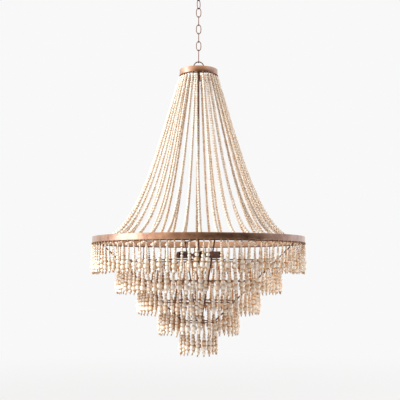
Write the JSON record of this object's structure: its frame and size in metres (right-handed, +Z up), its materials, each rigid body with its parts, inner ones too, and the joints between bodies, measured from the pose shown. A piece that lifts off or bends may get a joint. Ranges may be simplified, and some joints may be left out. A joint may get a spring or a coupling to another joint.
{
  "type": "beaded chandelier",
  "caption": "Chandelier with strands of wooden beads draped from a cap to a wide band, stepped hoops of hanging strands below, and lamp sockets inside, hung on a chain.",
  "frame": {"origin": "middle of the mounting strap's top face, which lies against the ceiling", "axes": "+Z up out of the ceiling face; -Y towards the front; +X to the right"},
  "size_m": [0.7778, 0.7778, 1.4017],
  "materials": {
    "copper": "brushed antique copper",
    "bronze": "satin dark bronze",
    "zinc": "zinc plated",
    "wood": "bleached, lightly waxed",
    "phenolic": "moulded, slightly glossy",
    "brass": "plain"
  },
  "bodies": {
    "ceiling_fitting": {"ceiling_canopy": "copper", "mounting_strap": "zinc", "canopy_collar": "copper", "canopy_loop": "bronze"},
    "link_8": {"chain_link_8": "bronze"},
    "link_7": {"chain_link_7": "bronze"},
    "link_6": {"chain_link_6": "bronze"},
    "link_5": {"chain_link_5": "bronze"},
    "link_4": {"chain_link_4": "bronze"},
    "link_3": {"chain_link_3": "bronze"},
    "link_2": {"chain_link_2": "bronze"},
    "link_1": {"chain_link_1": "bronze"},
    "chandelier_frame": {"cap_loop": "bronze", "cap_crossbar": "bronze", "cap_band": "copper", "cap_hoop_and_drapes": "wood", "centre_stem": "bronze", "stem_top_nut": "bronze", "stem_coupling": "bronze", "spoke_collar": "bronze", "spoke_1": "bronze", "spoke_2": "bronze", "spoke_3": "bronze", "spoke_4": "bronze", "main_band": "copper", "tier_1_hoop_and_strands": "wood", "tier_2_hoop_and_strands": "wood", "tier_3_hoop_and_strands": "wood", "tier_4_hoop_and_strands": "wood", "tier_5_hoop_and_strands": "wood", "stay_rod_1": "bronze", "stay_rod_2": "bronze", "stay_rod_3": "bronze", "stay_rod_4": "bronze", "lamp_hub": "bronze", "hub_nut": "bronze", "lamp_socket_1": "phenolic", "screw_shell_1": "brass", "centre_contact_1": "brass", "lamp_socket_2": "phenolic", "screw_shell_2": "brass", "centre_contact_2": "brass", "lamp_socket_3": "phenolic", "screw_shell_3": "brass", "centre_contact_3": "brass", "lamp_socket_4": "phenolic", "screw_shell_4": "brass", "centre_contact_4": "brass", "lamp_socket_5": "phenolic", "screw_shell_5": "brass", "centre_contact_5": "brass", "lamp_socket_6": "phenolic", "screw_shell_6": "brass", "centre_contact_6": "brass"}
  },
  "joints": [
    {"name": "canopy_loop_swing", "type": "hinge", "parent": "ceiling_fitting", "child": "link_8", "pos_m": [0, 0, -0.0698], "axis": [0.6428, 0.766, 0], "range_deg": [-20, 20]},
    {"name": "link_8_to_7_swing", "type": "hinge", "parent": "link_8", "child": "link_7", "pos_m": [0, 0, -0.101], "axis": [0.766, -0.6428, 0], "range_deg": [-20, 20]},
    {"name": "link_7_to_6_swing", "type": "hinge", "parent": "link_7", "child": "link_6", "pos_m": [0, 0, -0.1327], "axis": [0.6428, 0.766, 0], "range_deg": [-8, 8]},
    {"name": "link_6_to_5_swing", "type": "hinge", "parent": "link_6", "child": "link_5", "pos_m": [0, 0, -0.1644], "axis": [1, 0, 0], "range_deg": [-8, 8]},
    {"name": "link_5_to_4_swing", "type": "hinge", "parent": "link_5", "child": "link_4", "pos_m": [0, 0, -0.1961], "axis": [0, 1, 0], "range_deg": [-8, 8]},
    {"name": "link_4_to_3_swing", "type": "hinge", "parent": "link_4", "child": "link_3", "pos_m": [0, 0, -0.2278], "axis": [1, 0, 0], "range_deg": [-8, 8]},
    {"name": "link_3_to_2_swing", "type": "hinge", "parent": "link_3", "child": "link_2", "pos_m": [0, 0, -0.2595], "axis": [0, 1, 0], "range_deg": [-8, 8]},
    {"name": "link_2_to_1_swing", "type": "hinge", "parent": "link_2", "child": "link_1", "pos_m": [0, 0, -0.2912], "axis": [1, 0, 0], "range_deg": [-8, 8]},
    {"name": "cap_loop_swing", "type": "hinge", "parent": "link_1", "child": "chandelier_frame", "pos_m": [0, 0, -0.3369], "axis": [0, 1, 0], "range_deg": [-20, 20]}
  ]
}
